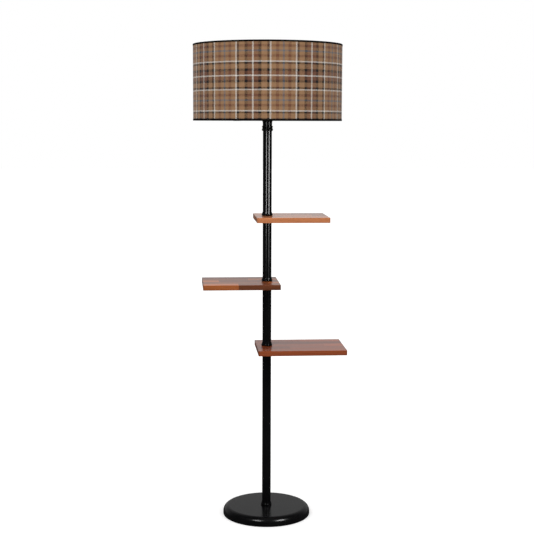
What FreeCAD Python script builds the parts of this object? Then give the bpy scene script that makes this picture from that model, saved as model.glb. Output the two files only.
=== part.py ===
import FreeCAD
import Part
import Sketcher
import os
import re

# A floor lamp whose pole carries three wooden shelves and a wide drum shade.
# The origin is on the floor under the pole. +Z is up, +X runs to the right along the shelves
# and +Y points to the back, where the mains lead enters the base. All lengths are millimetres.

SIZES = {
    # Base: a pressed steel cover over a cast ring, closed by a plate and standing on felt
    "base_radius": 149,
    "base_height": 30.5,
    "base_rim_round": 20,
    "cover_wall": 1.5,
    "felt_thickness": 2,
    "felt_inset": 1,
    "plate_thickness": 1.5,
    "access_radius": 30,
    "weight_radius": 105,
    "weight_bore": 35,
    "weight_edge_round": 4,
    "channel_width": 10,
    "channel_height": 10,
    # Pole: four steel tubes with threaded plugs in their ends, joined by hollow studs
    "tube_radius": 15,
    "tube_wall": 1.2,
    "foot_tube_length": 542.5,
    "shelf_tube_length": 205,
    "upper_tube_length": 282.5,
    "insert_length": 20,
    "stud_radius": 5,
    "stud_bore": 3.4,
    "stud_reach": 18,
    "nut_corner_radius": 9,
    "nut_height": 3.5,
    "washer_radius": 25,
    "washer_thickness": 1.5,
    # Collars that hide the foot of each tube
    "collar_radius": 18.7,
    "collar_bead_height": 7,
    "collar_bead_bulge": 1.6,
    "collar_shoulder_height": 5,
    "collar_lip": 0.9,
    # Shelves: their reach to each side of the pole
    "shelf_thickness": 17,
    "shelf_depth": 210,
    "shelf_corner_round": 2,
    "shelf_edge_round": 1,
    "lower_shelf_left": 35,
    "lower_shelf_right": 262,
    "middle_shelf_left": 218,
    "middle_shelf_right": 38.5,
    "upper_shelf_left": 41,
    "upper_shelf_right": 201,
    # Neck: a turned ferrule between the pole and the lampholder
    "neck_foot_radius": 16.1,
    "neck_skirt_radius": 18.7,
    "neck_skirt_height": 4,
    "neck_band_radius": 18.2,
    "neck_waist_radius": 16.8,
    "neck_groove_height": 9,
    "neck_band_height": 12.5,
    "neck_height": 17.5,
    # Lampholder, of the 27 mm screw type
    "cap_foot_radius": 15.5,
    "cap_throat_radius": 16,
    "cap_throat_height": 12.5,
    "cap_radius": 20,
    "cap_flare_height": 20,
    "cap_height": 27,
    "cap_wall": 2,
    "sleeve_radius": 19.5,
    "sleeve_height": 33,
    "shoulder_radius": 23,
    "shoulder_height": 3.5,
    "block_height": 6,
    "block_boss_height": 6,
    "shell_radius": 14,
    "shell_wall": 0.5,
    "shell_height": 24,
    "contact_radius": 4.5,
    "contact_height": 1.6,
    "terminal_offset": 9,
    "terminal_head_radius": 2.8,
    "terminal_head_height": 2.4,
    "terminal_shank_radius": 1.5,
    "terminal_shank_length": 4,
    "shade_nut_radius": 28,
    "shade_nut_height": 8,
    # Bulb with a 27 mm screw cap
    "tip_radius": 4.8,
    "tip_height": 1.2,
    "insulator_height": 5,
    "bulb_cap_radius": 13.1,
    "bulb_cap_height": 19.5,
    "bulb_cap_wall": 0.6,
    "housing_height": 38,
    "globe_radius": 30,
    "globe_wall": 1.2,
    "globe_mouth_radius": 25.5,
    "board_radius": 21,
    "board_thickness": 1.6,
    # Drum shade: woven cloth laminated on a stiff liner, on two wire rings and a three-armed carrier
    "shade_radius": 247,
    "shade_height": 250,
    "fabric_thickness": 0.6,
    "glue_thickness": 0.5,
    "liner_thickness": 0.5,
    "trim_wall": 0.5,
    "trim_height": 4.5,
    "ring_wire_radius": 2,
    "spider_rise": 14.5,
    "spider_hub_radius": 28,
    "spider_hub_thickness": 2,
    "spider_hole_play": 1,
    "spoke_radius": 1.75,
    "spoke_inner_run": 18,
    "spoke_outer_run": 30,
    "spoke_bend_radius": 40,
    # Mains lead inside the lamp, and the inlet that it comes in through
    "lead_radius": 2.6,
    "lead_height": 9,
    "lead_bend_radius": 15,
    "lead_setback": 14,
    "grommet_bore": 3,
    "grommet_neck_radius": 4.2,
    "grommet_flange_radius": 5.2,
    "grommet_flange_thickness": 1.6,
    # Play
    "thread_play": 0.05,
    "seat_play": 0.1,
    "sliding_play": 0.25,
}

SPOKE_ANGLES = (90, 210, 330)
SCREW_SIDES = {"left": -1, "right": 1}
TURN_LEFT = 1
TURN_RIGHT = -1

# Levels above the floor, written as formulas of the sizes
BASE_TOP = "base_height"
COVER_CEILING = "(base_height - cover_wall)"
LOWER_UNDERSIDE = f"({BASE_TOP} + foot_tube_length)"
LOWER_TOP = f"({LOWER_UNDERSIDE} + shelf_thickness)"
MIDDLE_UNDERSIDE = f"({LOWER_TOP} + shelf_tube_length)"
MIDDLE_TOP = f"({MIDDLE_UNDERSIDE} + shelf_thickness)"
UPPER_UNDERSIDE = f"({MIDDLE_TOP} + shelf_tube_length)"
UPPER_TOP = f"({UPPER_UNDERSIDE} + shelf_thickness)"
POLE_TOP = f"({UPPER_TOP} + upper_tube_length)"
CAP_LEVEL = f"({POLE_TOP} + neck_height)"
SLEEVE_LEVEL = f"({CAP_LEVEL} + cap_height)"
BLOCK_LEVEL = f"({SLEEVE_LEVEL} - block_height)"
BLOCK_TOP = f"({SLEEVE_LEVEL} + block_boss_height)"
HUB_LEVEL = f"({SLEEVE_LEVEL} + shoulder_height)"
TIP_LEVEL = f"({BLOCK_TOP} + contact_height)"
BULB_CAP_LEVEL = f"({TIP_LEVEL} + tip_height + insulator_height)"
HOUSING_LEVEL = f"({BULB_CAP_LEVEL} + bulb_cap_height)"
GLOBE_LEVEL = f"({HOUSING_LEVEL} + housing_height)"
SHADE_BOTTOM = f"({HUB_LEVEL} - spider_rise)"
SHADE_TOP = f"({SHADE_BOTTOM} + shade_height)"

doc = FreeCAD.newDocument("ShelfFloorLamp")
sheet = doc.addObject("Spreadsheet::Sheet", "Sizes")
for row, (alias, number) in enumerate(SIZES.items(), start=1):
    sheet.set(f"A{row}", alias.replace("_", " "))
    sheet.set(f"B{row}", str(number))
    sheet.setAlias(f"B{row}", alias)
doc.recompute()

pieces = []


def cells(formula):
    """The formula with each size name pointing at its cell in the sheet."""
    return re.sub(r"[a-z]+(?:_[a-z]+)+", r"Sizes.\g<0>", formula)


def number_of(formula):
    """What the formula comes to with the sheet's present sizes."""
    return float(sheet.evalExpression(cells(formula)))


def bind(item, prop, formula):
    item.setExpression(prop, cells(formula))


def new_body(label, level):
    """An empty body that stands at a level above the floor."""
    body = doc.addObject("PartDesign::Body", label)
    body.Label = label
    bind(body, "Placement.Base.z", level)
    pieces.append(body)
    return body


def new_sketch(body, role, offset="0"):
    """A sketch on one of the body's own origin planes, or a step along its normal."""
    plane = [item for item in body.Origin.OriginFeatures if item.Role == role][0]
    sketch = body.newObject("Sketcher::SketchObject", f"{body.Label}_sketch")
    sketch.AttachmentSupport = [(plane, "")]
    sketch.MapMode = "FlatFace"
    bind(sketch, "AttachmentOffset.Base.z", offset)
    return sketch


def pin(sketch, kind, geometry, point, formula):
    """Hold a point of the sketch at a distance from the origin along one axis."""
    constraint = Sketcher.Constraint(kind, -1, 1, geometry, point, number_of(formula))
    index = sketch.addConstraint(constraint)
    bind(sketch, f"Constraints[{index}]", formula)


def arc_between(start, end, radius, turn):
    """The shorter arc from start to end, whose centre lies to the side it turns towards."""
    chord = end - start
    middle = (start + end) * 0.5
    left = FreeCAD.Vector(-chord.y, chord.x, 0).normalize()
    height = (radius**2 - (chord.Length / 2) ** 2) ** 0.5
    centre = middle + left * (height * turn)
    circle = Part.Circle(centre, FreeCAD.Vector(0, 0, 1), radius)
    first, last = (start, end) if turn == TURN_LEFT else (end, start)
    return Part.ArcOfCircle(circle, circle.parameter(first), circle.parameter(last))


def draw_outline(sketch, corners, closed=True):
    """Join the corners in turn by lines, or by an arc where a corner also gives a radius and a turn."""
    spots = [FreeCAD.Vector(number_of(c[0]), number_of(c[1]), 0) for c in corners]
    ends = []
    first = 0 if closed else 1
    for index in range(first, len(corners)):
        start = spots[index - 1]
        corner = corners[index]
        if len(corner) == 2:
            geometry = sketch.addGeometry(Part.LineSegment(start, spots[index]))
            ends.append((geometry, 1, 2))
            continue
        radius, turn = corner[2:]
        arc = arc_between(start, spots[index], number_of(radius), turn)
        geometry = sketch.addGeometry(arc)
        ends.append((geometry, 1, 2) if turn == TURN_LEFT else (geometry, 2, 1))
        size = sketch.addConstraint(Sketcher.Constraint("Radius", geometry, number_of(radius)))
        bind(sketch, f"Constraints[{size}]", radius)
    for index, (geometry, start, end) in enumerate(ends):
        if index or closed:
            before, _, before_end = ends[index - 1]
            sketch.addConstraint(Sketcher.Constraint("Coincident", before, before_end, geometry, start))
        across, up = corners[first + index][:2]
        pin(sketch, "DistanceX", geometry, end, across)
        pin(sketch, "DistanceY", geometry, end, up)
    if not closed:
        geometry, start, _ = ends[0]
        pin(sketch, "DistanceX", geometry, start, corners[0][0])
        pin(sketch, "DistanceY", geometry, start, corners[0][1])


def draw_circle(sketch, radius, across="0", up="0"):
    centre = FreeCAD.Vector(number_of(across), number_of(up), 0)
    circle = Part.Circle(centre, FreeCAD.Vector(0, 0, 1), number_of(radius))
    geometry = sketch.addGeometry(circle)
    size = sketch.addConstraint(Sketcher.Constraint("Radius", geometry, number_of(radius)))
    bind(sketch, f"Constraints[{size}]", radius)
    pin(sketch, "DistanceX", geometry, 3, across)
    pin(sketch, "DistanceY", geometry, 3, up)


def turned(label, corners, level="0"):
    """A piece made on a lathe: the outline of (radius, height) corners carried round the Z axis."""
    body = new_body(label, level)
    sketch = new_sketch(body, "XZ_Plane")
    draw_outline(sketch, corners)
    doc.recompute()
    turning = body.newObject("PartDesign::Revolution", f"{label}_turning")
    turning.Profile = sketch
    turning.ReferenceAxis = (sketch, ["V_Axis"])
    turning.Angle = 360
    doc.recompute()
    return body


def sleeve(label, bore, radius, length, level="0"):
    """A plain tube or washer."""
    corners = [(bore, "0"), (radius, "0"), (radius, length), (bore, length)]
    return turned(label, corners, level)


def pad(body, sketch, length):
    feature = body.newObject("PartDesign::Pad", f"{body.Label}_pad")
    feature.Profile = sketch
    bind(feature, "Length", length)
    doc.recompute()
    return feature


def pocket(body, sketch, length, backwards):
    """Cut the sketch into the body, along its normal or the other way, and see that it removes metal."""
    before = body.Shape.Volume
    feature = body.newObject("PartDesign::Pocket", f"{body.Label}_pocket")
    feature.Profile = sketch
    bind(feature, "Length", length)
    feature.Reversed = backwards
    doc.recompute()
    if body.Shape.Volume >= before:
        raise ValueError(f"{feature.Label} removed nothing")
    return feature


def round_edges(body, radius, chosen):
    """Round the edges of the body's last feature that the chosen test picks."""
    base = body.Tip
    names = [f"Edge{n}" for n, edge in enumerate(base.Shape.Edges, start=1) if chosen(edge)]
    fillet = body.newObject("PartDesign::Fillet", f"{body.Label}_round")
    fillet.Base = (base, names)
    bind(fillet, "Radius", radius)
    doc.recompute()
    return fillet


def is_rim(edge, radius, height):
    """Whether the edge is a full circle of that radius at that height."""
    if not isinstance(edge.Curve, Part.Circle):
        return False
    near = 1e-4
    return abs(edge.Curve.Radius - radius) < near and abs(edge.Curve.Center.z - height) < near


def round_rims(body, radius, rims):
    """Round the circular edges at the given (radius, height) corners."""
    spots = [(number_of(rim), number_of(height)) for rim, height in rims]
    return round_edges(body, radius, lambda edge: any(is_rim(edge, *spot) for spot in spots))


def hex_nut(label, corner_radius, bore, height, level):
    """A hexagon nut, as a prism with its bore cut out."""
    prism = doc.addObject("Part::Prism", f"{label}_hexagon")
    prism.Polygon = 6
    bind(prism, "Circumradius", corner_radius)
    bind(prism, "Height", height)
    hole = doc.addObject("Part::Cylinder", f"{label}_bore")
    bind(hole, "Radius", bore)
    bind(hole, "Height", height)
    nut = doc.addObject("Part::Cut", label)
    nut.Label = label
    nut.Base = prism
    nut.Tool = hole
    bind(nut, "Placement.Base.z", level)
    pieces.append(nut)
    return nut


def wire_hoop(label, radius, wire_radius, level):
    """A closed hoop of round wire."""
    hoop = doc.addObject("Part::Torus", label)
    hoop.Label = label
    bind(hoop, "Radius1", radius)
    bind(hoop, "Radius2", wire_radius)
    bind(hoop, "Placement.Base.z", level)
    pieces.append(hoop)
    return hoop


def along_path(body, path, profile):
    """Carry the profile along the path sketch."""
    doc.recompute()
    pipe = body.newObject("PartDesign::AdditivePipe", f"{body.Label}_pipe")
    pipe.Profile = profile
    edges = [f"Edge{n}" for n in range(1, len(path.Shape.Edges) + 1)]
    pipe.Spine = (path, edges)
    doc.recompute()
    return pipe


# Base, from the floor up

def make_felt_pad():
    """A felt disc glued under the base."""
    radius = "base_radius - felt_inset"
    turned("felt_pad", [("0", "0"), (radius, "0"), (radius, "felt_thickness"), ("0", "felt_thickness")])


def make_base_plate():
    """A steel disc welded inside the cover's lower edge, with a hole for reaching the nut."""
    radius = "base_radius - cover_wall - seat_play"
    sleeve("base_plate", "access_radius", radius, "plate_thickness", "felt_thickness")


def make_base_weight():
    """A cast iron ring held between plate and cover, with a channel below for the lead."""
    level = "(felt_thickness + plate_thickness)"
    height = f"({COVER_CEILING} - {level})"
    body = sleeve("base_weight", "weight_bore", "weight_radius", height, level)
    round_rims(body, "weight_edge_round", [("weight_radius", height)])
    sketch = new_sketch(body, "XY_Plane")
    half = "channel_width / 2"
    far = "weight_radius + channel_width"
    draw_outline(sketch, [(f"-{half}", "0"), (half, "0"), (half, far), (f"-{half}", far)])
    pocket(body, sketch, "channel_height", backwards=True)


def make_base_cover():
    """The pressed cover: a flat top with a full round rim, and a hole behind for the inlet."""
    spring = "(base_height - felt_thickness - base_rim_round)"
    top = "(base_height - felt_thickness)"
    inside = "(base_radius - cover_wall)"
    hole = "stud_radius + sliding_play"
    body = turned("base_cover", [
        (inside, "0"),
        ("base_radius", "0"),
        ("base_radius", spring),
        ("base_radius - base_rim_round", top, "base_rim_round", TURN_LEFT),
        (hole, top),
        (hole, f"{top} - cover_wall"),
        ("base_radius - base_rim_round", f"{top} - cover_wall"),
        (inside, spring, "base_rim_round - cover_wall", TURN_RIGHT),
    ], "felt_thickness")
    sketch = new_sketch(body, "XZ_Plane")
    draw_circle(sketch, "grommet_neck_radius + seat_play", "0", "lead_height - felt_thickness")
    pocket(body, sketch, "base_radius + cover_wall", backwards=False)


def make_grommet():
    """The inlet: a rubber grommet whose two flanges hold the rim between them."""
    above = "(lead_height + grommet_flange_radius - base_height + base_rim_round)"
    round_inside = "(base_rim_round - cover_wall)"
    fall = f"({round_inside} - sqrt({round_inside}^2 - {above}^2))"
    inner_face = f"(base_radius - cover_wall - {fall} - sliding_play)"
    start = f"({inner_face} - grommet_flange_thickness)"
    flange_end = f"(base_radius + grommet_flange_thickness + seat_play - {start})"
    grip = "grommet_flange_thickness"
    outer_face = f"(base_radius + seat_play - {start})"
    body = turned("cable_grommet", [
        ("grommet_bore", "0"),
        ("grommet_flange_radius", "0"),
        ("grommet_flange_radius", grip),
        ("grommet_neck_radius", grip),
        ("grommet_neck_radius", outer_face),
        ("grommet_flange_radius", outer_face),
        ("grommet_flange_radius", flange_end),
        ("grommet_bore", flange_end),
    ], "lead_height")
    body.Placement.Rotation = FreeCAD.Rotation(FreeCAD.Vector(1, 0, 0), -90)
    bind(body, "Placement.Base.y", start)
    round_rims(body, "grommet_flange_thickness / 2", [("grommet_flange_radius", flange_end)])


def make_base_fixings():
    """The washer and nut that hold the foot tube's stud inside the base."""
    bore = "stud_radius + thread_play"
    washer_level = f"({COVER_CEILING} - washer_thickness)"
    sleeve("base_washer", bore, "washer_radius", "washer_thickness", washer_level)
    hex_nut("base_nut", "nut_corner_radius", bore, "nut_height", f"{washer_level} - nut_height")


# Pole

def make_tube(name, level, length):
    """A tube with a threaded plug flush in each end."""
    bore = "tube_radius - tube_wall"
    sleeve(f"{name}_tube", bore, "tube_radius", length, level)
    plug_radius = f"{bore} - thread_play"
    plug_bore = "stud_radius + thread_play"
    sleeve(f"{name}_tube_foot_insert", plug_bore, plug_radius, "insert_length", level)
    top_level = f"{level} + {length} - insert_length"
    sleeve(f"{name}_tube_head_insert", plug_bore, plug_radius, "insert_length", top_level)


def make_stud(name, bottom, top):
    """A hollow threaded stud between two levels."""
    sleeve(f"{name}_stud", "stud_bore", "stud_radius", f"{top} - {bottom}", bottom)


def make_collar(name, level):
    """A turned collar round a tube's foot: a rounded bead below a conical shoulder."""
    bore = "(tube_radius + seat_play)"
    waist = "(collar_radius - collar_bead_bulge)"
    bead_round = "((collar_bead_height^2 / 4 + collar_bead_bulge^2) / (2 * collar_bead_bulge))"
    lip = f"{bore} + collar_lip"
    top = "collar_bead_height + collar_shoulder_height"
    turned(f"{name}_collar", [
        (bore, "0"),
        (waist, "0"),
        (waist, "collar_bead_height", bead_round, TURN_LEFT),
        (lip, top),
        (bore, top),
    ], level)


def make_shelf(name, level):
    """A solid board with its hole on the pole's axis."""
    body = new_body(f"{name}_shelf", level)
    left = f"-{name}_shelf_left"
    right = f"{name}_shelf_right"
    half = "shelf_depth / 2"
    board = new_sketch(body, "XY_Plane")
    draw_outline(board, [(left, f"-{half}"), (right, f"-{half}"), (right, half), (left, half)])
    pad(body, board, "shelf_thickness")
    round_edges(body, "shelf_corner_round", lambda edge: abs(edge.tangentAt(edge.FirstParameter).z) > 0.5)
    round_edges(body, "shelf_edge_round", lambda edge: abs(edge.tangentAt(edge.FirstParameter).z) < 0.5)
    hole = new_sketch(body, "XY_Plane")
    draw_circle(hole, "stud_radius + sliding_play")
    pocket(body, hole, "shelf_thickness", backwards=True)


def make_pole():
    make_tube("foot", BASE_TOP, "foot_tube_length")
    make_tube("lower", LOWER_TOP, "shelf_tube_length")
    make_tube("middle", MIDDLE_TOP, "shelf_tube_length")
    make_tube("upper", UPPER_TOP, "upper_tube_length")
    stud_foot = f"({COVER_CEILING} - washer_thickness - nut_height - washer_thickness / 3)"
    make_stud("base", stud_foot, f"({BASE_TOP} + stud_reach)")
    make_stud("lower", f"({LOWER_UNDERSIDE} - stud_reach)", f"({LOWER_TOP} + stud_reach)")
    make_stud("middle", f"({MIDDLE_UNDERSIDE} - stud_reach)", f"({MIDDLE_TOP} + stud_reach)")
    make_stud("upper", f"({UPPER_UNDERSIDE} - stud_reach)", f"({UPPER_TOP} + stud_reach)")
    for name, level in (("base", BASE_TOP), ("lower", LOWER_TOP), ("middle", MIDDLE_TOP), ("upper", UPPER_TOP)):
        make_collar(name, level)


def make_shelves():
    for name, level in (("lower", LOWER_UNDERSIDE), ("middle", MIDDLE_UNDERSIDE), ("upper", UPPER_UNDERSIDE)):
        make_shelf(name, level)


# Neck and lampholder

def make_neck():
    """The ferrule on the pole, with a flared skirt, a groove and a band, and its stud and nut."""
    bore = "stud_radius + thread_play"
    turned("neck_ring", [
        (bore, "0"),
        ("neck_foot_radius", "0"),
        ("neck_skirt_radius", "neck_skirt_height / 2"),
        ("neck_skirt_radius", "neck_skirt_height"),
        ("neck_band_radius", "neck_groove_height - (neck_band_radius - neck_waist_radius)"),
        ("neck_waist_radius", "neck_groove_height"),
        ("neck_waist_radius", "neck_band_height - (neck_band_radius - neck_waist_radius)"),
        ("neck_band_radius", "neck_band_height"),
        ("neck_band_radius", "neck_height - (neck_band_radius - neck_foot_radius)"),
        ("neck_foot_radius", "neck_height"),
        (bore, "neck_height"),
    ], POLE_TOP)
    nut_level = f"({CAP_LEVEL} + cap_wall)"
    make_stud("neck", f"({POLE_TOP} - stud_reach)", f"({nut_level} + nut_height + cap_wall / 2)")
    hex_nut("neck_nut", "nut_corner_radius", bore, "nut_height", nut_level)


def make_holder_cap():
    """The lampholder's lower cup, which widens upwards from the neck."""
    bore = "stud_radius + thread_play"
    turned("holder_cap", [
        (bore, "0"),
        ("cap_foot_radius", "0"),
        ("cap_throat_radius", "cap_throat_height"),
        ("cap_radius", "cap_flare_height"),
        ("cap_radius", "cap_height"),
        ("cap_radius - cap_wall", "cap_height"),
        ("cap_radius - cap_wall", "cap_flare_height"),
        ("cap_throat_radius - cap_wall", "cap_throat_height"),
        ("cap_foot_radius - cap_wall", "cap_wall"),
        (bore, "cap_wall"),
    ], CAP_LEVEL)


def make_contact_block():
    """The ceramic block in the cup, with a boss that carries the screw shell and the contact."""
    radius = "cap_radius - cap_wall - seat_play"
    boss_radius = "shell_radius - shell_wall - seat_play"
    top = "block_height + block_boss_height"
    body = turned("contact_block", [
        ("0", "0"),
        (radius, "0"),
        (radius, "block_height"),
        (boss_radius, "block_height"),
        (boss_radius, top),
        ("0", top),
    ], BLOCK_LEVEL)
    holes = new_sketch(body, "XY_Plane")
    for side in SCREW_SIDES.values():
        draw_circle(holes, "terminal_shank_radius + thread_play", f"{side} * terminal_offset")
    pocket(body, holes, "terminal_shank_length + seat_play", backwards=True)


def make_terminal_screws():
    """Two cheese-head screws in the block's underside, each a solid of its own in one piece."""
    screws = []
    for name, side in SCREW_SIDES.items():
        head = doc.addObject("Part::Cylinder", f"screw_head_{name}")
        bind(head, "Radius", "terminal_head_radius")
        bind(head, "Height", "terminal_head_height")
        shank = doc.addObject("Part::Cylinder", f"screw_shank_{name}")
        bind(shank, "Radius", "terminal_shank_radius")
        bind(shank, "Height", "terminal_shank_length")
        bind(shank, "Placement.Base.z", "terminal_head_height")
        screw = doc.addObject("Part::Fuse", f"screw_{name}")
        screw.Base = head
        screw.Tool = shank
        bind(screw, "Placement.Base.x", f"{side} * terminal_offset")
        screws.append(screw)
    group = doc.addObject("Part::Compound", "terminal_screws")
    group.Label = "terminal_screws"
    group.Links = screws
    bind(group, "Placement.Base.z", f"{BLOCK_LEVEL} - terminal_head_height")
    pieces.append(group)


def make_socket():
    """The brass shell that the bulb screws into, and the spring contact at its foot."""
    bore = "shell_radius - shell_wall"
    sleeve("screw_shell", bore, "shell_radius", "shell_height", SLEEVE_LEVEL)
    turned("centre_contact", [
        ("0", "0"),
        ("contact_radius", "0"),
        ("contact_radius", "contact_height / 2"),
        ("contact_radius / 2", "contact_height"),
        ("0", "contact_height"),
    ], BLOCK_TOP)


def make_holder_sleeve():
    """The outer sleeve: a shoulder that the shade rests on, and above it the thread for the ring nut."""
    bore = "shell_radius + seat_play"
    body = turned("holder_sleeve", [
        (bore, "0"),
        ("shoulder_radius", "0"),
        ("shoulder_radius", "shoulder_height"),
        ("sleeve_radius", "shoulder_height"),
        ("sleeve_radius", "sleeve_height"),
        (bore, "sleeve_height"),
    ], SLEEVE_LEVEL)
    round_rims(body, "seat_play * 8", [("sleeve_radius", "sleeve_height")])


def make_shade_nut():
    """The ring nut that clamps the shade's carrier on the shoulder, with a stepped grip."""
    level = f"({HUB_LEVEL} + spider_hub_thickness)"
    grip_radius = "(shade_nut_radius + sleeve_radius) / 2"
    turned("shade_nut", [
        ("sleeve_radius + seat_play", "0"),
        ("shade_nut_radius", "0"),
        ("shade_nut_radius", "shade_nut_height / 3"),
        (grip_radius, "shade_nut_height / 2"),
        (grip_radius, "shade_nut_height"),
        ("sleeve_radius + seat_play", "shade_nut_height"),
    ], level)


# Bulb

def make_bulb():
    """Tip, insulator and screw cap below; housing, light board and globe above."""
    turned("bulb_tip", [
        ("0", "0"),
        ("tip_radius", "0"),
        ("tip_radius", "tip_height"),
        ("0", "tip_height"),
    ], TIP_LEVEL)
    inner = "bulb_cap_radius - bulb_cap_wall"
    turned("bulb_insulator", [
        ("0", "0"),
        ("tip_radius", "0"),
        (inner, "insulator_height"),
        ("0", "insulator_height"),
    ], f"{TIP_LEVEL} + tip_height")
    sleeve("bulb_cap", inner, "bulb_cap_radius", "bulb_cap_height", BULB_CAP_LEVEL)
    neck = "bulb_cap_radius + bulb_cap_wall"
    turned("bulb_housing", [
        ("0", "0"),
        (neck, "0"),
        (neck, "housing_height / 8"),
        ("globe_mouth_radius", "housing_height", "housing_height * 2", TURN_RIGHT),
        ("0", "housing_height"),
    ], HOUSING_LEVEL)
    sleeve("light_board", "0", "board_radius", "board_thickness", GLOBE_LEVEL)
    make_globe()


def make_globe():
    """The opal globe: a sphere's shell whose mouth stands on the housing."""
    centre = "sqrt(globe_radius^2 - globe_mouth_radius^2)"
    inner_radius = "(globe_radius - globe_wall)"
    inner_mouth = f"sqrt({inner_radius}^2 - {centre}^2)"
    turned("bulb_globe", [
        (inner_mouth, "0", inner_radius, TURN_RIGHT),
        ("globe_mouth_radius", "0"),
        ("0", f"{centre} + globe_radius", "globe_radius", TURN_LEFT),
        ("0", f"{centre} + {inner_radius}"),
    ], GLOBE_LEVEL)


# Shade

def make_shade_wall():
    """The cloth outside and the liner that it is laminated on, between the trims."""
    level = f"({SHADE_BOTTOM} + trim_wall + seat_play)"
    height = "shade_height - 2 * (trim_wall + seat_play)"
    inside = "(shade_radius - fabric_thickness)"
    sleeve("shade_fabric", inside, "shade_radius", height, level)
    liner_outside = f"{inside} - glue_thickness"
    sleeve("shade_liner", f"{liner_outside} - liner_thickness", liner_outside, height, level)


WIRE_CENTRE = (
    "(shade_radius - fabric_thickness - glue_thickness - liner_thickness - seat_play - ring_wire_radius)"
)
WIRE_INSET = "(trim_wall + seat_play + ring_wire_radius)"


def make_shade_rings():
    """A wire hoop inside each end of the liner."""
    wire_hoop("top_ring", WIRE_CENTRE, "ring_wire_radius", f"{SHADE_TOP} - {WIRE_INSET}")
    wire_hoop("bottom_ring", WIRE_CENTRE, "ring_wire_radius", f"{SHADE_BOTTOM} + {WIRE_INSET}")


def make_trims():
    """A folded tape over each end, down the cloth's face and under the liner and the hoop."""
    outer_leg = "(shade_radius + thread_play)"
    outside = f"({outer_leg} + trim_wall)"
    inside = f"({WIRE_CENTRE} - ring_wire_radius)"
    section = [
        (inside, "0"),
        (outside, "0"),
        (outside, "trim_height"),
        (outer_leg, "trim_height"),
        (outer_leg, "trim_wall"),
        (inside, "trim_wall"),
    ]
    turned("bottom_trim", section, SHADE_BOTTOM)
    hanging = [(radius, f"-({height})") for radius, height in section]
    turned("top_trim", hanging, SHADE_TOP)


def make_spider():
    """The carrier: a hub on the lampholder's shoulder and three bent arms out to the bottom hoop."""
    hole = "sleeve_radius + spider_hole_play"
    sleeve("spider_hub", hole, "spider_hub_radius", "spider_hub_thickness", HUB_LEVEL)
    start = "(spider_hub_radius + seat_play)"
    end = f"({WIRE_CENTRE} - ring_wire_radius - seat_play)"
    high = "(spider_rise + spider_hub_thickness / 2)"
    low = WIRE_INSET
    inner_corner = f"({start} + spoke_inner_run)"
    outer_corner = f"({end} - spoke_outer_run)"
    slope = f"atan(({high} - {low}) / ({outer_corner} - {inner_corner}))"
    bend = "spoke_bend_radius"
    reach = f"({bend} * tan({slope} / 2))"
    along = f"({reach} * cos({slope}))"
    down = f"({reach} * sin({slope}))"
    for number, angle in enumerate(SPOKE_ANGLES, start=1):
        body = new_body(f"spider_arm_{number}", SHADE_BOTTOM)
        body.Placement.Rotation = FreeCAD.Rotation(FreeCAD.Vector(0, 0, 1), angle)
        path = new_sketch(body, "XZ_Plane")
        draw_outline(path, [
            (start, high),
            (f"{inner_corner} - {reach}", high),
            (f"{inner_corner} + {along}", f"{high} - {down}", bend, TURN_RIGHT),
            (f"{outer_corner} - {along}", f"{low} + {down}"),
            (f"{outer_corner} + {reach}", low, bend, TURN_LEFT),
            (end, low),
        ], closed=False)
        profile = new_sketch(body, "YZ_Plane", start)
        draw_circle(profile, "spoke_radius", "0", high)
        along_path(body, path, profile)


def make_inner_lead():
    """The mains lead's run inside the lamp: along the base, one bend, and up through the studs."""
    body = new_body("inner_lead", "0")
    path = new_sketch(body, "YZ_Plane")
    top = BLOCK_LEVEL
    end = "base_radius - lead_setback"
    draw_outline(path, [
        ("0", top),
        ("0", "lead_height + lead_bend_radius"),
        ("lead_bend_radius", "lead_height", "lead_bend_radius", TURN_LEFT),
        (end, "lead_height"),
    ], closed=False)
    profile = new_sketch(body, "XY_Plane", top)
    draw_circle(profile, "lead_radius")
    along_path(body, path, profile)


make_felt_pad()
make_base_plate()
make_base_weight()
make_base_cover()
make_grommet()
make_base_fixings()
make_pole()
make_shelves()
make_neck()
make_holder_cap()
make_contact_block()
make_terminal_screws()
make_socket()
make_holder_sleeve()
make_shade_nut()
make_bulb()
make_shade_wall()
make_shade_rings()
make_trims()
make_spider()
make_inner_lead()
doc.recompute()

for item in doc.Objects:
    if "Invalid" in item.State or "Error" in item.State:
        raise ValueError(f"{item.Label} did not build: {item.State}")
for piece in pieces:
    if piece.Shape.isNull() or not piece.Shape.isValid():
        raise ValueError(f"{piece.Label} has no valid shape")

os.makedirs("parts", exist_ok=True)
for piece in pieces:
    piece.Shape.exportStep(f"parts/{piece.Label}.step")
print(f"{len(pieces)} pieces written")
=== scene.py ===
import math

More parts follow.
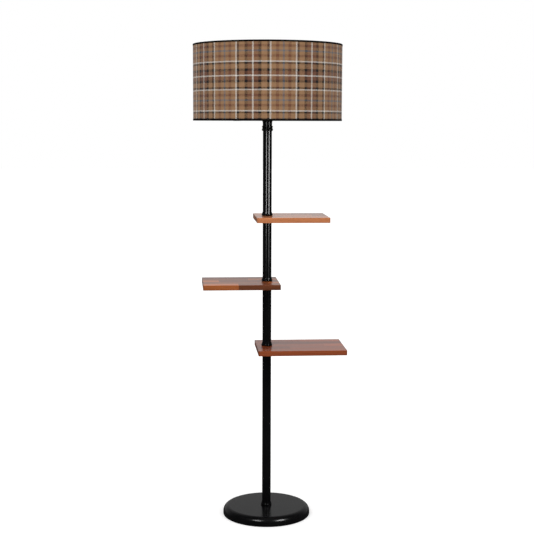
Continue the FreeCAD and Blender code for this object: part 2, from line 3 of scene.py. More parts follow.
import bmesh
import bpy
import numpy as np
from mathutils import Euler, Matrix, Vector


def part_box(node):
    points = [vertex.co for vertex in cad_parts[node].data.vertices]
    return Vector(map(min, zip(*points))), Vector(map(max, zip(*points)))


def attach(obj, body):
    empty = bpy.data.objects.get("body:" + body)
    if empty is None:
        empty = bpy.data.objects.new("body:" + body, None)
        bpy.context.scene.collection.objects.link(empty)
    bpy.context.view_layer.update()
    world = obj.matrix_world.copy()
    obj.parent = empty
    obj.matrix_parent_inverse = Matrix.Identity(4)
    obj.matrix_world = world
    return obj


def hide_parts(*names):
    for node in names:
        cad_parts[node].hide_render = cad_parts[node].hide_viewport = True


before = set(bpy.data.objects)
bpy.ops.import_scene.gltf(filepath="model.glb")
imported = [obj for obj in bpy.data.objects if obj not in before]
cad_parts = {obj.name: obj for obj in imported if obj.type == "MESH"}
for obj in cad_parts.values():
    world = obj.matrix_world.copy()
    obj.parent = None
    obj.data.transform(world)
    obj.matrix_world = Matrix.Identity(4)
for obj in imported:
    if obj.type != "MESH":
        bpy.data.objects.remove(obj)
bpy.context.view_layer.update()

# The looks of a floor lamp with three wooden shelves on its pole and a drum shade in checked cloth.
# Metres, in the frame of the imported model: the origin on the floor under the pole, +Z up, +Y to the back.

millimetre = 0.001
fullTurn = 2 * math.pi
sameSpot = 1e-6  # points that are closer than this are one


def nodeRadius(node):
    # a turned node's outer radius: half its width
    low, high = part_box(node)
    return (high.x - low.x) / 2


def nodeHeights(node):
    low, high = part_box(node)
    return low.z, high.z


def addObject(name, data):
    item = bpy.data.objects.new(name, data)
    bpy.context.scene.collection.objects.link(item)
    return item


# small tools for the nodes of materials and of the backdrop

def addNode(tree, kind, **values):
    node = tree.nodes.new(kind)
    for name, value in values.items():
        setattr(node, name, value)
    return node


def feed(tree, socket, value):
    # a socket takes either another node's output or a plain value
    if isinstance(value, bpy.types.NodeSocket):
        tree.links.new(value, socket)
    else:
        socket.default_value = value


def calculate(tree, operation, *values):
    node = addNode(tree, "ShaderNodeMath", operation=operation)
    for socket, value in zip(node.inputs, values):
        feed(tree, socket, value)
    return node.outputs[0]


def times(tree, first, second):
    return calculate(tree, "MULTIPLY", first, second)


def plus(tree, first, second):
    return calculate(tree, "ADD", first, second)


def minus(tree, first, second):
    return calculate(tree, "SUBTRACT", first, second)


def fraction(tree, value):
    return calculate(tree, "FRACT", value)


def spread(tree, value, fromLow, fromHigh, toLow, toHigh, ease="LINEAR"):
    # the value's place between two numbers, carried over to the same place between two others
    node = addNode(tree, "ShaderNodeMapRange", interpolation_type=ease)
    for socket, number in zip(node.inputs, (value, fromLow, fromHigh, toLow, toHigh)):
        feed(tree, socket, number)
    return node.outputs[0]


def blendColours(tree, share, first, second):
    node = addNode(tree, "ShaderNodeMix", data_type="RGBA")
    feed(tree, node.inputs["Factor"], share)
    feed(tree, node.inputs[6], first)  # the node's colour sockets: A, B and the result
    feed(tree, node.inputs[7], second)
    return node.outputs[2]


def coordinates(tree, source="Object"):
    # Object gives the surface's place in metres, and UV the metres along and up a strip
    return addNode(tree, "ShaderNodeTexCoord").outputs[source]


def axes(tree, place):
    node = addNode(tree, "ShaderNodeSeparateXYZ")
    feed(tree, node.inputs[0], place)
    return node.outputs


def linear(colour):
    # the 0 to 255 screen colour as light, by the sRGB curve
    part = np.array(colour, float) / 255
    light = np.where(part <= 0.04045, part / 12.92, ((part + 0.055) / 1.055) ** 2.4)
    return (*light.tolist(), 1.0)


def newFinish(name, colour, roughness, **sockets):
    # a socket's name is given with _ for each of its spaces
    finish = bpy.data.materials.new(name)
    finish.use_nodes = True
    shader = finish.node_tree.nodes["Principled BSDF"]
    shader.inputs["Base Color"].default_value = linear(colour)
    shader.inputs["Roughness"].default_value = roughness
    for socket, value in sockets.items():
        shader.inputs[socket.replace("_", " ")].default_value = value
    return finish, finish.node_tree, shader


# the camera, the floor, the backdrop and the lamps

cameraSettings = {
    "distance": 3.960,  # from the pole, level with the floor
    "height": 1.345,
    "yaw": 0.07572,  # radians round the pole, to the left of the front
    "tilt": 0.12455,  # radians downwards
    "roll": 0.00302,
    "focalPixels": 1179.47,
    "longSide": 540,  # of the picture, in pixels
    "sensor": 36,
}


def makeCamera(settings):
    data = bpy.data.cameras.new("camera")
    camera = addObject("camera", data)
    yaw = settings["yaw"]
    away = settings["distance"]
    camera.location = (-away * math.sin(yaw), -away * math.cos(yaw), settings["height"])
    aim = Euler((math.pi / 2 - settings["tilt"], 0, -yaw)).to_matrix()
    roll = Euler((0, 0, settings["roll"])).to_matrix()
    camera.rotation_euler = (aim @ roll).to_euler()
    data.sensor_width = settings["sensor"]
    data.lens = settings["sensor"] * settings["focalPixels"] / settings["longSide"]
    bpy.context.scene.camera = camera


stageSettings = {
    "floorReach": 30.0,
    "floorFront": 1.2,  # the sheet of floor ends this far in front of the pole
    "floorLevel": -0.1 * millimetre,
    "floorColour": (0.80, 0.80, 0.80, 1.0),
    "floorInGloss": (0.10, 0.10, 0.10, 1.0),
    "liftNear": 0.36,  # what seen rays add to the lit floor by the base, where its shadow stays
    "liftFar": 0.60,  # and further off, so that it reaches white
    "liftFrom": 0.30,  # metres from the pole where the one starts to turn into the other
    "liftTo": 1.60,
    "worldForLight": 0.70,
    "roomBehindCamera": 0.10,  # what gloss shows of the room on the camera's side
    "roomBehindLamp": 0.60,  # and of the pale one at the back
    "paleAcross": (0.20, 0.80),  # how far back a direction points where the dim room turns into the pale one
    "paleAbove": (-0.02, 0.06),  # and how far up, over the floor
}


def seenRays(tree):
    # 1 where the camera sees a thing, straight or through glass
    path = addNode(tree, "ShaderNodeLightPath")
    seen = calculate(tree, "MAXIMUM", path.outputs["Is Camera Ray"], path.outputs["Is Transmission Ray"])
    return path, seen


def floorFinish(settings):
    # white where the camera or glass sees it lit, and greyer in gloss, as a studio's floor is further off
    finish, tree, shader = newFinish(
        "paleFloor", (255, 255, 255), 1.0, Specular_IOR_Level=0.0, Emission_Color=(1, 1, 1, 1),
    )
    path, seen = seenRays(tree)
    inGloss = path.outputs["Is Glossy Ray"]
    colour = blendColours(tree, inGloss, settings["floorColour"], settings["floorInGloss"])
    feed(tree, shader.inputs["Base Color"], colour)
    away = addNode(tree, "ShaderNodeVectorMath", operation="LENGTH")
    feed(tree, away.inputs[0], coordinates(tree))
    lift = spread(tree, away.outputs["Value"], settings["liftFrom"], settings["liftTo"],
                  settings["liftNear"], settings["liftFar"], "SMOOTHSTEP")
    feed(tree, shader.inputs["Emission Strength"], times(tree, seen, lift))
    # a camera that looks up from below sees through the sheet, to the underside of the lamp
    underside = addNode(tree, "ShaderNodeNewGeometry").outputs["Backfacing"]
    either = addNode(tree, "ShaderNodeMixShader")
    feed(tree, either.inputs[0], times(tree, path.outputs["Is Camera Ray"], underside))
    feed(tree, either.inputs[1], shader.outputs[0])
    feed(tree, either.inputs[2], addNode(tree, "ShaderNodeBsdfTransparent").outputs[0])
    feed(tree, tree.nodes["Material Output"].inputs["Surface"], either.outputs[0])
    return finish


def makeFloor(settings):
    reach = settings["floorReach"]
    front = -settings["floorFront"]
    level = settings["floorLevel"]
    corners = [(-reach, front, level), (reach, front, level), (reach, reach, level), (-reach, reach, level)]
    mesh = bpy.data.meshes.new("floor")
    mesh.from_pydata(corners, [], [(0, 1, 2, 3)])
    mesh.materials.append(floorFinish(settings))
    floor = addObject("floor", mesh)


def makeBackdrop(settings):
    # white for the camera and through glass. In gloss it is pale behind the object and above the floor,
    # and a dim room on the camera's side. Rays that light the object see a level of their own
    world = bpy.data.worlds.new("backdrop")
    bpy.context.scene.world = world
    world.use_nodes = True
    tree = world.node_tree
    background = tree.nodes["Background"]
    background.inputs["Color"].default_value = (1, 1, 1, 1)
    direction = axes(tree, coordinates(tree, "Generated"))
    behind = spread(tree, direction["Y"], *settings["paleAcross"], 0.0, 1.0, "SMOOTHSTEP")
    above = spread(tree, direction["Z"], *settings["paleAbove"], 0.0, 1.0, "SMOOTHSTEP")
    dim = settings["roomBehindCamera"]
    pale = settings["roomBehindLamp"]
    room = calculate(tree, "MULTIPLY_ADD", times(tree, behind, above), pale - dim, dim)
    path, seen = seenRays(tree)
    gloss = path.outputs["Is Glossy Ray"]
    hidden = minus(tree, 1.0, calculate(tree, "MAXIMUM", seen, gloss))
    shown = calculate(tree, "MULTIPLY_ADD", gloss, room, seen)
    strength = calculate(tree, "MULTIPLY_ADD", hidden, settings["worldForLight"], shown)
    feed(tree, background.inputs["Strength"], strength)


lampSettings = {
    "leftSoftbox": {"at": (-1.50, -2.56, 2.84), "to": (0, 0, 0.9), "size": (1.7, 1.7), "radiance": 4.4},
    "rightSoftbox": {"at": (1.96, -2.30, 2.62), "to": (0, 0, 0.9), "size": (1.5, 1.5), "radiance": 3.0},
    "topSoftbox": {"at": (0, -0.4, 3.6), "to": (0, 0, 0.6), "size": (1.4, 1.4), "radiance": 1.0},
}
# lamps that only draw highlights on the black enamel. Each shines on its group's nodes alone
glossGroups = {
    "pole": {
        "nodes": ("foot_tube", "lower_tube", "middle_tube", "upper_tube", "neck_ring", "holder_cap"),
        "lamps": {
            "leftStrip": {"at": (-0.886, -1.793, 1.095), "size": (0.50, 0.47), "radiance": 68},
            "leftStripLow": {"at": (-0.886, -1.793, 0.765), "size": (0.50, 0.19), "radiance": 9},
            "rightStrip": {"at": (1.389, -1.439, 1.095), "size": (0.50, 0.47), "radiance": 104},
            "rightStripLow": {"at": (1.389, -1.439, 0.745), "size": (0.50, 0.23), "radiance": 20},
        },
    },
    "base": {
        "nodes": ("base_cover", "base_collar", "lower_collar", "middle_collar", "upper_collar"),
        "lamps": {
            "leftPanel": {"at": (-1.09, -1.87, 1.85), "to": (0, 0, 0), "size": (0.80, 0.50), "radiance": 72},
            "rightPanel": {
                "at": (1.376, -1.794, 1.72), "to": (0, 0, 0), "size": (0.85, 0.50), "radiance": 120,
            },
        },
    },
}


def makeLamp(name, lamp):
    # a lamp with no place to aim at shines level, at the pole
    data = bpy.data.lights.new(name, "AREA")
    data.shape = "RECTANGLE"
    data.size, data.size_y = lamp["size"]
    # an even rectangle's power is pi * area * radiance
    data.energy = lamp["radiance"] * math.pi * data.size * data.size_y
    item = addObject(name, data)
    item.location = lamp["at"]
    aim = Vector(lamp.get("to", (0, 0, lamp["at"][2]))) - item.location
    item.rotation_euler = aim.to_track_quat("-Z", "Y").to_euler()
    item.visible_camera = False
    return item


def makeLamps(settings, groups):
    for name, lamp in settings.items():
        makeLamp(name, lamp)
    for groupName, group in groups.items():
        receivers = bpy.data.collections.new(f"{groupName}Gloss")
        for node in group["nodes"]:
            receivers.objects.link(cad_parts[node])
        for name, lamp in group["lamps"].items():
            item = makeLamp(name, lamp)
            item.visible_diffuse = False
            item.light_linking.receiver_collection = receivers


makeCamera(cameraSettings)
makeFloor(stageSettings)
makeBackdrop(stageSettings)
makeLamps(lampSettings, glossGroups)
bpy.context.scene.view_settings.view_transform = "Standard"
print("camera, floor, backdrop and lamps are set")


# small tools for the finishes

wideSpan = (0.25, 0.75)  # nearly all of the noise, which runs from 0 to 1, lies in here
narrowSpan = (0.3, 0.7)


def stretch(tree, place, scale):
    # the place with each of its three numbers times a scale of its own
    mapping = addNode(tree, "ShaderNodeMapping")
    feed(tree, mapping.inputs["Vector"], place)
    feed(tree, mapping.inputs["Scale"], scale)
    return mapping.outputs[0]


def mottle(tree, place, scale, detail, roughness=0.5):
    noise = addNode(tree, "ShaderNodeTexNoise")
    feed(tree, noise.inputs["Vector"], place)
    feed(tree, noise.inputs["Scale"], scale)
    feed(tree, noise.inputs["Detail"], detail)
    feed(tree, noise.inputs["Roughness"], roughness)
    return noise.outputs["Fac"]


def shade(tree, colour, factor):
    # the colour made lighter or darker: each channel times the factor
    node = addNode(tree, "ShaderNodeVectorMath", operation="SCALE")
    feed(tree, node.inputs[0], colour)
    feed(tree, node.inputs["Scale"], factor)
    return node.outputs[0]


def relief(tree, shader, height, distance, strength):
    bump = addNode(tree, "ShaderNodeBump")
    feed(tree, bump.inputs["Height"], height)
    feed(tree, bump.inputs["Distance"], distance)
    feed(tree, bump.inputs["Strength"], strength)
    feed(tree, shader.inputs["Normal"], bump.outputs[0])


def bands(tree, value, stops):
    # a colour for each stretch of value from 0 to 1, with hard edges
    node = addNode(tree, "ShaderNodeValToRGB")
    feed(tree, node.inputs[0], value)
    strip = node.color_ramp
    strip.interpolation = "CONSTANT"
    while len(strip.elements) < len(stops):
        strip.elements.new(1.0)
    for element, (position, colour) in zip(strip.elements, stops):
        element.position = position
        element.color = colour
    return node.outputs[0]


def sineOf(tree, value, factor):
    return calculate(tree, "SINE", times(tree, value, factor))


def fromMiddle(tree, count):
    # how far a place is from the middle of its stave or block: 0 there, and 0.5 at its edges
    return calculate(tree, "ABSOLUTE", minus(tree, fraction(tree, count), 0.5))


# the cloth of the shade: a woven check

clothSettings = {
    "yarn": 0.75 * millimetre,
    "yarnRelief": 0.12 * millimetre,
    "yarnTone": (0.90, 1.08),  # from the darkest yarn of a colour to the lightest
    "slubScale": 90,
    "slubTone": (0.94, 1.05),
    "roughness": 0.88,
    "gloss": 0.25,
    "sheen": 0.12,
    "repeatsRound": 8,
    "repeatHeight": 153 * millimetre,
    "phaseRound": 0.30,
    "phaseUp": 0.09,
    "tan": (142, 108, 77),
    "rust": (104, 68, 50),
    "charcoal": (18, 17, 18),
    "cream": (202, 196, 188),
    "slate": (92, 98, 104),
    # half of one repeat, from the middle of the rust band to the middle of the tan ground
    "halfRepeat": (
        ("cream", 2.2), ("rust", 14.0), ("charcoal", 9.0), ("tan", 17.0), ("charcoal", 7.5), ("cream", 4.4),
        ("tan", 14.0), ("rust", 9.0), ("tan", 11.0), ("slate", 3.0),
    ),
    "thickness": 0.6 * millimetre,
    "lap": 14 * millimetre,
    "lift": 60 * millimetre,  # how far before its lap the strip starts to rise
    "seamAngle": math.pi / 2,  # the lap is at the back, where +Y is
    "step": 16 * millimetre,
}


def checkStops(settings):
    # the half repeat and its mirror image, as (start, colour) of each band from 0 to 1
    half = list(settings["halfRepeat"])
    whole = half + half[::-1]
    total = sum(width for _, width in whole)
    stops = []
    start = 0.0
    for name, width in whole:
        if not stops or stops[-1][1] != linear(settings[name]):
            stops.append((start / total, linear(settings[name])))
        start += width
    return stops


def yarnColour(tree, settings, phase, number):
    # the check's colour at this phase, and each yarn of it a little darker or lighter
    tone = addNode(tree, "ShaderNodeTexWhiteNoise", noise_dimensions="1D")
    feed(tree, tone.inputs["W"], number)
    colour = bands(tree, fraction(tree, phase), checkStops(settings))
    return shade(tree, colour, spread(tree, tone.outputs[0], 0, 1, *settings["yarnTone"]))


def clothFinish(settings, around):
    # 2/2 twill: with warp i and weft j, the warp lies on top where (i + j) mod 4 is under 2
    finish, tree, shader = newFinish(
        "wovenCheck", settings["tan"], settings["roughness"],
        Specular_IOR_Level=settings["gloss"], Sheen_Weight=settings["sheen"], Sheen_Roughness=0.5,
    )
    across, up, _ = axes(tree, coordinates(tree, "UV"))
    perMetre = settings["repeatsRound"] / around
    warpPhase = calculate(tree, "MULTIPLY_ADD", across, perMetre, settings["phaseRound"])
    weftPhase = calculate(tree, "MULTIPLY_ADD", up, 1 / settings["repeatHeight"], settings["phaseUp"])
    warpCount = calculate(tree, "DIVIDE", across, settings["yarn"])
    weftCount = calculate(tree, "DIVIDE", up, settings["yarn"])
    warp = calculate(tree, "FLOOR", warpCount)
    weft = calculate(tree, "FLOOR", weftCount)
    step = calculate(tree, "FLOORED_MODULO", plus(tree, warp, weft), 4.0)
    warpOnTop = calculate(tree, "LESS_THAN", step, 1.5)
    warpColour = yarnColour(tree, settings, warpPhase, warp)
    weftColour = yarnColour(tree, settings, weftPhase, plus(tree, weft, 0.5))
    colour = blendColours(tree, warpOnTop, weftColour, warpColour)
    slub = mottle(tree, coordinates(tree, "UV"), settings["slubScale"], 4)
    colour = shade(tree, colour, spread(tree, slub, *wideSpan, *settings["slubTone"]))
    feed(tree, shader.inputs["Base Color"], colour)
    # each yarn is round: its height is the sine of the way across it
    warpRound = sineOf(tree, fraction(tree, warpCount), math.pi)
    weftRound = sineOf(tree, fraction(tree, weftCount), math.pi)
    warpHeight = times(tree, warpRound, warpOnTop)
    weftHeight = times(tree, weftRound, minus(tree, 1.0, warpOnTop))
    relief(tree, shader, plus(tree, warpHeight, weftHeight), settings["yarnRelief"], 0.6)
    return finish


# the wood of the shelves: boards glued up from staves that run along X, each a row of blocks

woodSettings = {
    "roughness": (0.30, 0.40),  # from the darkest streaks to the lightest
    "gloss": 0.25,
    "coatRoughness": 0.14,
    "staveWidth": 42.4 * millimetre,
    "frontHair": 0.0001,  # of a stave: the front face itself counts as in the first one
    "staveShift": 0.618,  # in blocks, from one stave's joints to the next one's
    "blockStep": 0.38,  # how far the tone moves on from block to block
    "staveStep": 0.47,  # and from stave to stave
    "pithBelow": 60 * millimetre,  # the growth rings' middle lies at least this far below the top
    "pithRange": 30 * millimetre,
    "pithAcross": (1.6, -0.3),  # in staves: by tone, and from the stave's front edge
    "grainShift": (3.0, 1.7, 0.0),  # metres between the lightest block's grain and the darkest one's
    "ringSpacing": 3.4 * millimetre,
    "ringWander": 30 * millimetre,
    "wanderScale": (2.2, 16, 16),
    "streakScale": (9, 260, 260),
    "poreScale": (55, 1700, 1700),
    "ringTone": (1.06, 0.78),
    "streakTone": (0.74, 1.18),
    "poreSpan": (0.34, 0.44),  # noise below this is a pore
    "poreTone": (0.72, 1.0),
    "staveJoint": (0.493, 0.498),  # of a stave's width, from its middle to its glue line
    "blockJoint": (0.4988, 0.4996),  # and of a block's length, to the butt joint
    "jointTone": 0.62,
    # painted shade on the board's ends, partly end grain's darker varnish: how far in it reaches and how dark
    # it gets
    "endShade": 5 * millimetre,
    "endShadeTone": 0.60,
    # a painted highlight on the sides just below the top's arris, and painted shade at their foot
    "arris": 0.8 * millimetre,
    "arrisHighlight": 1.13,  # the sides just below the top's arris, and at their foot
    "footShade": 0.92,
    "relief": 0.05 * millimetre,
    "streakRelief": 0.4,  # of the pores'
}
# each board's two extreme colours, its blocks' length, where they meet, the front block's tone, how much
# lighter or darker its top face is painted as painted light, and the varnish
boardSettings = {
    "lower": {
        "light": (190, 92, 42), "dark": (132, 60, 28), "block": 0.320, "joint": 0.15, "tone": 0.60,
        "top": 0.78, "coat": 0.42,
    },
    "middle": {
        "light": (198, 110, 52), "dark": (88, 43, 26), "block": 0.262, "joint": 0.385, "tone": 0.23,
        "top": 1.15, "coat": 0.32,
    },
    "upper": {
        "light": (242, 152, 96), "dark": (160, 92, 58), "block": 0.270, "joint": 0.20, "tone": 0.85,
        "top": 0.80, "coat": 0.64,
    },
}


def countBlocks(tree, settings, board, along, fromFront):
    # places counted in staves from the front and in blocks along them, and each block's tone: the fraction
    # left of the board's own plus the block's and the stave's numbers, each times its step. The golden ratio
    # keeps the staves' joints apart
    staveCount = calculate(tree, "DIVIDE", fromFront, settings["staveWidth"])
    stave = calculate(tree, "FLOOR", plus(tree, staveCount, settings["frontHair"]))
    shift = calculate(tree, "MULTIPLY_ADD", stave, settings["staveShift"], board["joint"])
    blockCount = plus(tree, calculate(tree, "DIVIDE", along, board["block"]), fraction(tree, shift))
    block = calculate(tree, "FLOOR", blockCount)
    mixed = calculate(tree, "MULTIPLY_ADD", block, settings["blockStep"],
                      times(tree, stave, settings["staveStep"]))
    tone = fraction(tree, plus(tree, mixed, board["tone"]))
    return staveCount, blockCount, tone


def blockGrain(tree, settings, tone):
    # places in the wood that each block was cut from: the object's, moved by a vector times the tone
    moved = addNode(tree, "ShaderNodeVectorMath", operation="ADD")
    feed(tree, moved.inputs[0], coordinates(tree))
    offset = addNode(tree, "ShaderNodeCombineXYZ")
    for socket, shift in zip(offset.inputs, settings["grainShift"]):
        feed(tree, socket, times(tree, tone, shift))
    feed(tree, moved.inputs[1], offset.outputs[0])
    return moved.outputs[0]


def growthRings(tree, settings, grain, staveCount, tone, overPith):
    # the distance from a pith below the board, sqrt(sideways^2 + depth^2), and a slow wander, counted in
    # rings. The late wood is the cube of the fraction
    byTone, fromEdge = settings["pithAcross"]
    pith = calculate(tree, "MULTIPLY_ADD", tone, byTone, fromEdge)
    sideways = minus(tree, fraction(tree, staveCount), pith)
    sideways = times(tree, sideways, settings["staveWidth"])
    depth = plus(tree, overPith, times(tree, tone, settings["pithRange"]))
    squares = plus(tree, calculate(tree, "POWER", sideways, 2.0), calculate(tree, "POWER", depth, 2.0))
    slow = mottle(tree, stretch(tree, grain, settings["wanderScale"]), 1.0, 3)
    wander = times(tree, slow, settings["ringWander"])
    away = plus(tree, calculate(tree, "SQRT", squares), wander)
    ring = fraction(tree, calculate(tree, "DIVIDE", away, settings["ringSpacing"]))
    return calculate(tree, "POWER", ring, 3.0)


def woodFinish(name, settings, board):
    finish, tree, shader = newFinish(
        f"{name}Wood", board["light"], settings["roughness"][0],
        Specular_IOR_Level=settings["gloss"], Coat_Weight=board["coat"],
        Coat_Roughness=settings["coatRoughness"],
    )
    low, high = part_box(f"{name}_shelf")
    along, across, up = axes(tree, coordinates(tree))
    fromFront = minus(tree, across, low.y)
    staveCount, blockCount, tone = countBlocks(tree, settings, board, along, fromFront)
    grain = blockGrain(tree, settings, tone)
    overPith = minus(tree, up, high.z - settings["pithBelow"])
    lateWood = growthRings(tree, settings, grain, staveCount, tone, overPith)
    streak = mottle(tree, stretch(tree, grain, settings["streakScale"]), 1.0, 4, 0.6)
    pores = mottle(tree, stretch(tree, grain, settings["poreScale"]), 1.0, 2, 0.6)
    colour = blendColours(tree, tone, linear(board["dark"]), linear(board["light"]))
    colour = shade(tree, colour, spread(tree, lateWood, 0, 1, *settings["ringTone"]))
    colour = shade(tree, colour, spread(tree, streak, *wideSpan, *settings["streakTone"]))
    poreMask = spread(tree, pores, *settings["poreSpan"], *settings["poreTone"])
    colour = shade(tree, colour, poreMask)
    # a dark line where two staves or two blocks meet
    for count, joint in ((staveCount, settings["staveJoint"]), (blockCount, settings["blockJoint"])):
        line = spread(tree, fromMiddle(tree, count), *joint, 1.0, settings["jointTone"])
        colour = shade(tree, colour, line)
    # the ends are darker: end grain takes more varnish, and this is also painted shade on the end faces, with
    # a soft line round the corners
    fromLeft = minus(tree, along, low.x)
    fromRight = minus(tree, high.x, along)
    fromEnd = calculate(tree, "MINIMUM", fromLeft, fromRight)
    colour = shade(tree, colour, spread(tree, fromEnd, 0.0, settings["endShade"], settings["endShadeTone"], 1.0))
    # the sides are rubbed lighter under the top arris by wear, with a painted highlight there too, and darken
    # towards their foot as painted shade
    fromTop = minus(tree, high.z, up)
    # on the top face itself the board's top factor makes it lighter or darker: painted light
    overArris = spread(tree, fromTop, 0.0, settings["arris"], board["top"], settings["arrisHighlight"])
    downSide = spread(tree, fromTop, settings["arris"], high.z - low.z,
                      settings["arrisHighlight"], settings["footShade"])
    colour = shade(tree, colour, calculate(tree, "MINIMUM", overArris, downSide))
    feed(tree, shader.inputs["Base Color"], colour)
    feed(tree, shader.inputs["Roughness"], spread(tree, streak, *narrowSpan, *settings["roughness"]))
    height = plus(tree, poreMask, times(tree, streak, settings["streakRelief"]))
    relief(tree, shader, height, settings["relief"], 0.5)
    return finish


# paints, metals and the other finishes

enamelSettings = {
    "clean": (8, 8, 9),
    "dusty": (14, 14, 15),
    "dustScale": 14,
    "dustSpan": (0.35, 0.75),
    "roughnessByDust": (0.94, 1.08),
    "peelScale": 300,
    "peelRelief": 0.010 * millimetre,
}
metalSettings = {"darkest": 0.80, "roughness": (0.75, 1.35)}  # of the metal's own colour and roughness
ribbonLook = {
    "colour": (9, 8, 8),
    "ribs": 0.9 * millimetre,
    "threads": 0.35 * millimetre,
    "threadShare": 0.25,
    # how dark the painted shade in the weave's hollows gets
    "darkest": 0.6,
    "relief": 0.08 * millimetre,
}


def enamelFinish(name, roughness, gloss):
    # stoved black paint: a faint orange peel and a little dust in the gloss
    settings = enamelSettings
    finish, tree, shader = newFinish(name, settings["clean"], roughness, Specular_IOR_Level=gloss)
    peel = mottle(tree, coordinates(tree), settings["peelScale"], 2)
    dust = mottle(tree, coordinates(tree), settings["dustScale"], 2)
    low, high = settings["roughnessByDust"]
    feed(tree, shader.inputs["Roughness"], spread(tree, dust, *narrowSpan, roughness * low, roughness * high))
    share = spread(tree, dust, *settings["dustSpan"], 0, 1)
    colour = blendColours(tree, share, linear(settings["clean"]), linear(settings["dusty"]))
    feed(tree, shader.inputs["Base Color"], colour)
    relief(tree, shader, peel, settings["peelRelief"], 0.25)
    return finish


def metalFinish(name, colour, roughness, grain, depth):
    # a metal whose grain, a scale along X, Y and Z, shows in its colour, its gloss and its relief
    finish, tree, shader = newFinish(name, colour, roughness, Metallic=1.0)
    texture = mottle(tree, stretch(tree, coordinates(tree), grain), 1.0, 5, 0.6)
    low = tuple(metalSettings["darkest"] * part for part in colour)
    feed(tree, shader.inputs["Base Color"], blendColours(tree, texture, linear(low), linear(colour)))
    least, most = metalSettings["roughness"]
    rough = spread(tree, texture, *wideSpan, roughness * least, roughness * most)
    feed(tree, shader.inputs["Roughness"], rough)
    relief(tree, shader, texture, depth * millimetre, 0.4)
    return finish


def mattFinish(name, colour, roughness, scale, depth, contrast, **sockets):
    # a plain coloured stuff with a grainy surface, whose colour varies by contrast each way
    finish, tree, shader = newFinish(name, colour, roughness, **sockets)
    texture = mottle(tree, coordinates(tree), scale, 5, 0.6)
    low = tuple(max(0.0, part * (1 - contrast)) for part in colour)
    high = tuple(min(255.0, part * (1 + contrast)) for part in colour)
    feed(tree, shader.inputs["Base Color"], blendColours(tree, texture, linear(low), linear(high)))
    relief(tree, shader, texture, depth * millimetre, 0.5)
    return finish


def ribbonFinish(name, settings):
    # grosgrain: ribs across the ribbon, each a sine along it, and fine warp threads between; the hollows of
    # this weave are painted darker, as painted shade
    finish, tree, shader = newFinish(name, settings["colour"], 0.8, Specular_IOR_Level=0.08)
    along, up, _ = axes(tree, coordinates(tree, "UV"))
    ribs = sineOf(tree, along, fullTurn / settings["ribs"])
    threads = sineOf(tree, up, fullTurn / settings["threads"])
    weave = calculate(tree, "MULTIPLY_ADD", threads, settings["threadShare"], ribs)
    # the weave's low parts get the darker colour: painted shade in its hollows
    dark = tuple(settings["darkest"] * part for part in settings["colour"])
    share = spread(tree, weave, -1, 1, 0, 1)
    colour = blendColours(tree, share, linear(dark), linear(settings["colour"]))
    feed(tree, shader.inputs["Base Color"], colour)
    relief(tree, shader, weave, settings["relief"], 0.5)
    return finish


shadeRadius = nodeRadius("shade_fabric")
clothLength = fullTurn * shadeRadius
# one finish for each of the record's slots. A metal's or matt stuff's numbers are its colour, its roughness,
# its grain's scale, the grain's depth in millimetres, and the contrast of its colour
finishes = {
    "checked_cloth": clothFinish(clothSettings, clothLength),
    "black_enamel": enamelFinish("glossEnamel", 0.13, 0.075),
    "zinc_steel": metalFinish("zincPlate", (186, 188, 190), 0.38, (160, 160, 160), 0.03),
    "grey_iron": mattFinish("castIron", (66, 66, 68), 0.75, 260, 0.4, 0.25, Metallic=0.6),
    "black_felt": mattFinish("woolFelt", (30, 30, 31), 0.97, 1400, 0.3, 0.5, Sheen_Weight=0.3),
    "black_rubber": mattFinish("softRubber", (26, 26, 26), 0.68, 700, 0.05, 0.2),
    "lead_sheath": mattFinish("leadSheath", (24, 24, 25), 0.5, 500, 0.04, 0.15),
    "black_plastic": mattFinish("mouldedBlack", (22, 22, 23), 0.42, 900, 0.04, 0.2),
    "white_ceramic": mattFinish("glazedCeramic", (226, 222, 212), 0.22, 300, 0.03, 0.03),
    "brass": metalFinish("pressedBrass", (196, 160, 92), 0.28, (220, 220, 40), 0.02),
    "nickel_brass": metalFinish("nickelPlate", (196, 190, 178), 0.22, (240, 240, 60), 0.02),
    "black_glass": mattFinish("blackGlass", (14, 13, 16), 0.08, 200, 0.01, 0.2),
    "white_plastic": mattFinish("mouldedWhite", (228, 227, 223), 0.36, 700, 0.03, 0.02),
    "board_aluminium": metalFinish("boardAluminium", (206, 208, 210), 0.42, (60, 600, 60), 0.02),
    "opal_globe": mattFinish("opalGlobe", (236, 234, 228), 0.34, 500, 0.02, 0.015),
    "shade_liner": mattFinish("linerFilm", (226, 221, 210), 0.5, 150, 0.05, 0.02),
    "black_tape": ribbonFinish("blackRibbon", ribbonLook),
    "white_wire": mattFinish("coatedWire", (222, 221, 217), 0.32, 240, 0.06, 0.03),
}
for boardName, board in boardSettings.items():
    finishes[f"{boardName}_wood"] = woodFinish(boardName, woodSettings, board)
# black pieces whose enamel is duller or plainer than the tubes'
ownFinishes = {
    "base_cover": enamelFinish("baseEnamel", 0.21, 0.07),
    "holder_cap": enamelFinish("cupEnamel", 0.16, 0.025),
    "neck_ring": enamelFinish("neckEnamel", 0.16, 0.028),
}
for collar in ("base", "lower", "middle", "upper"):
    ownFinishes[f"{collar}_collar"] = enamelFinish(f"{collar}CollarEnamel", 0.16, 0.045)
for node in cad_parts.values():
    slotName = node.material_slots[0].material.name
    node.material_slots[0].material = finishes[slotName]
for nodeName, finish in ownFinishes.items():
    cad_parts[nodeName].material_slots[0].material = finish
print(f"{len(finishes)} finishes are mixed")


# surfaces worked out on grids

def gridFaces(rows, columns):
    # the four corners of each cell of a grid of points that is numbered row after row
    index = np.arange(rows * columns).reshape(rows, columns)
    corners = (index[:-1, :-1], index[:-1, 1:], index[1:, 1:], index[1:, :-1])
    return np.stack(corners, axis=-1).reshape(-1, 4)


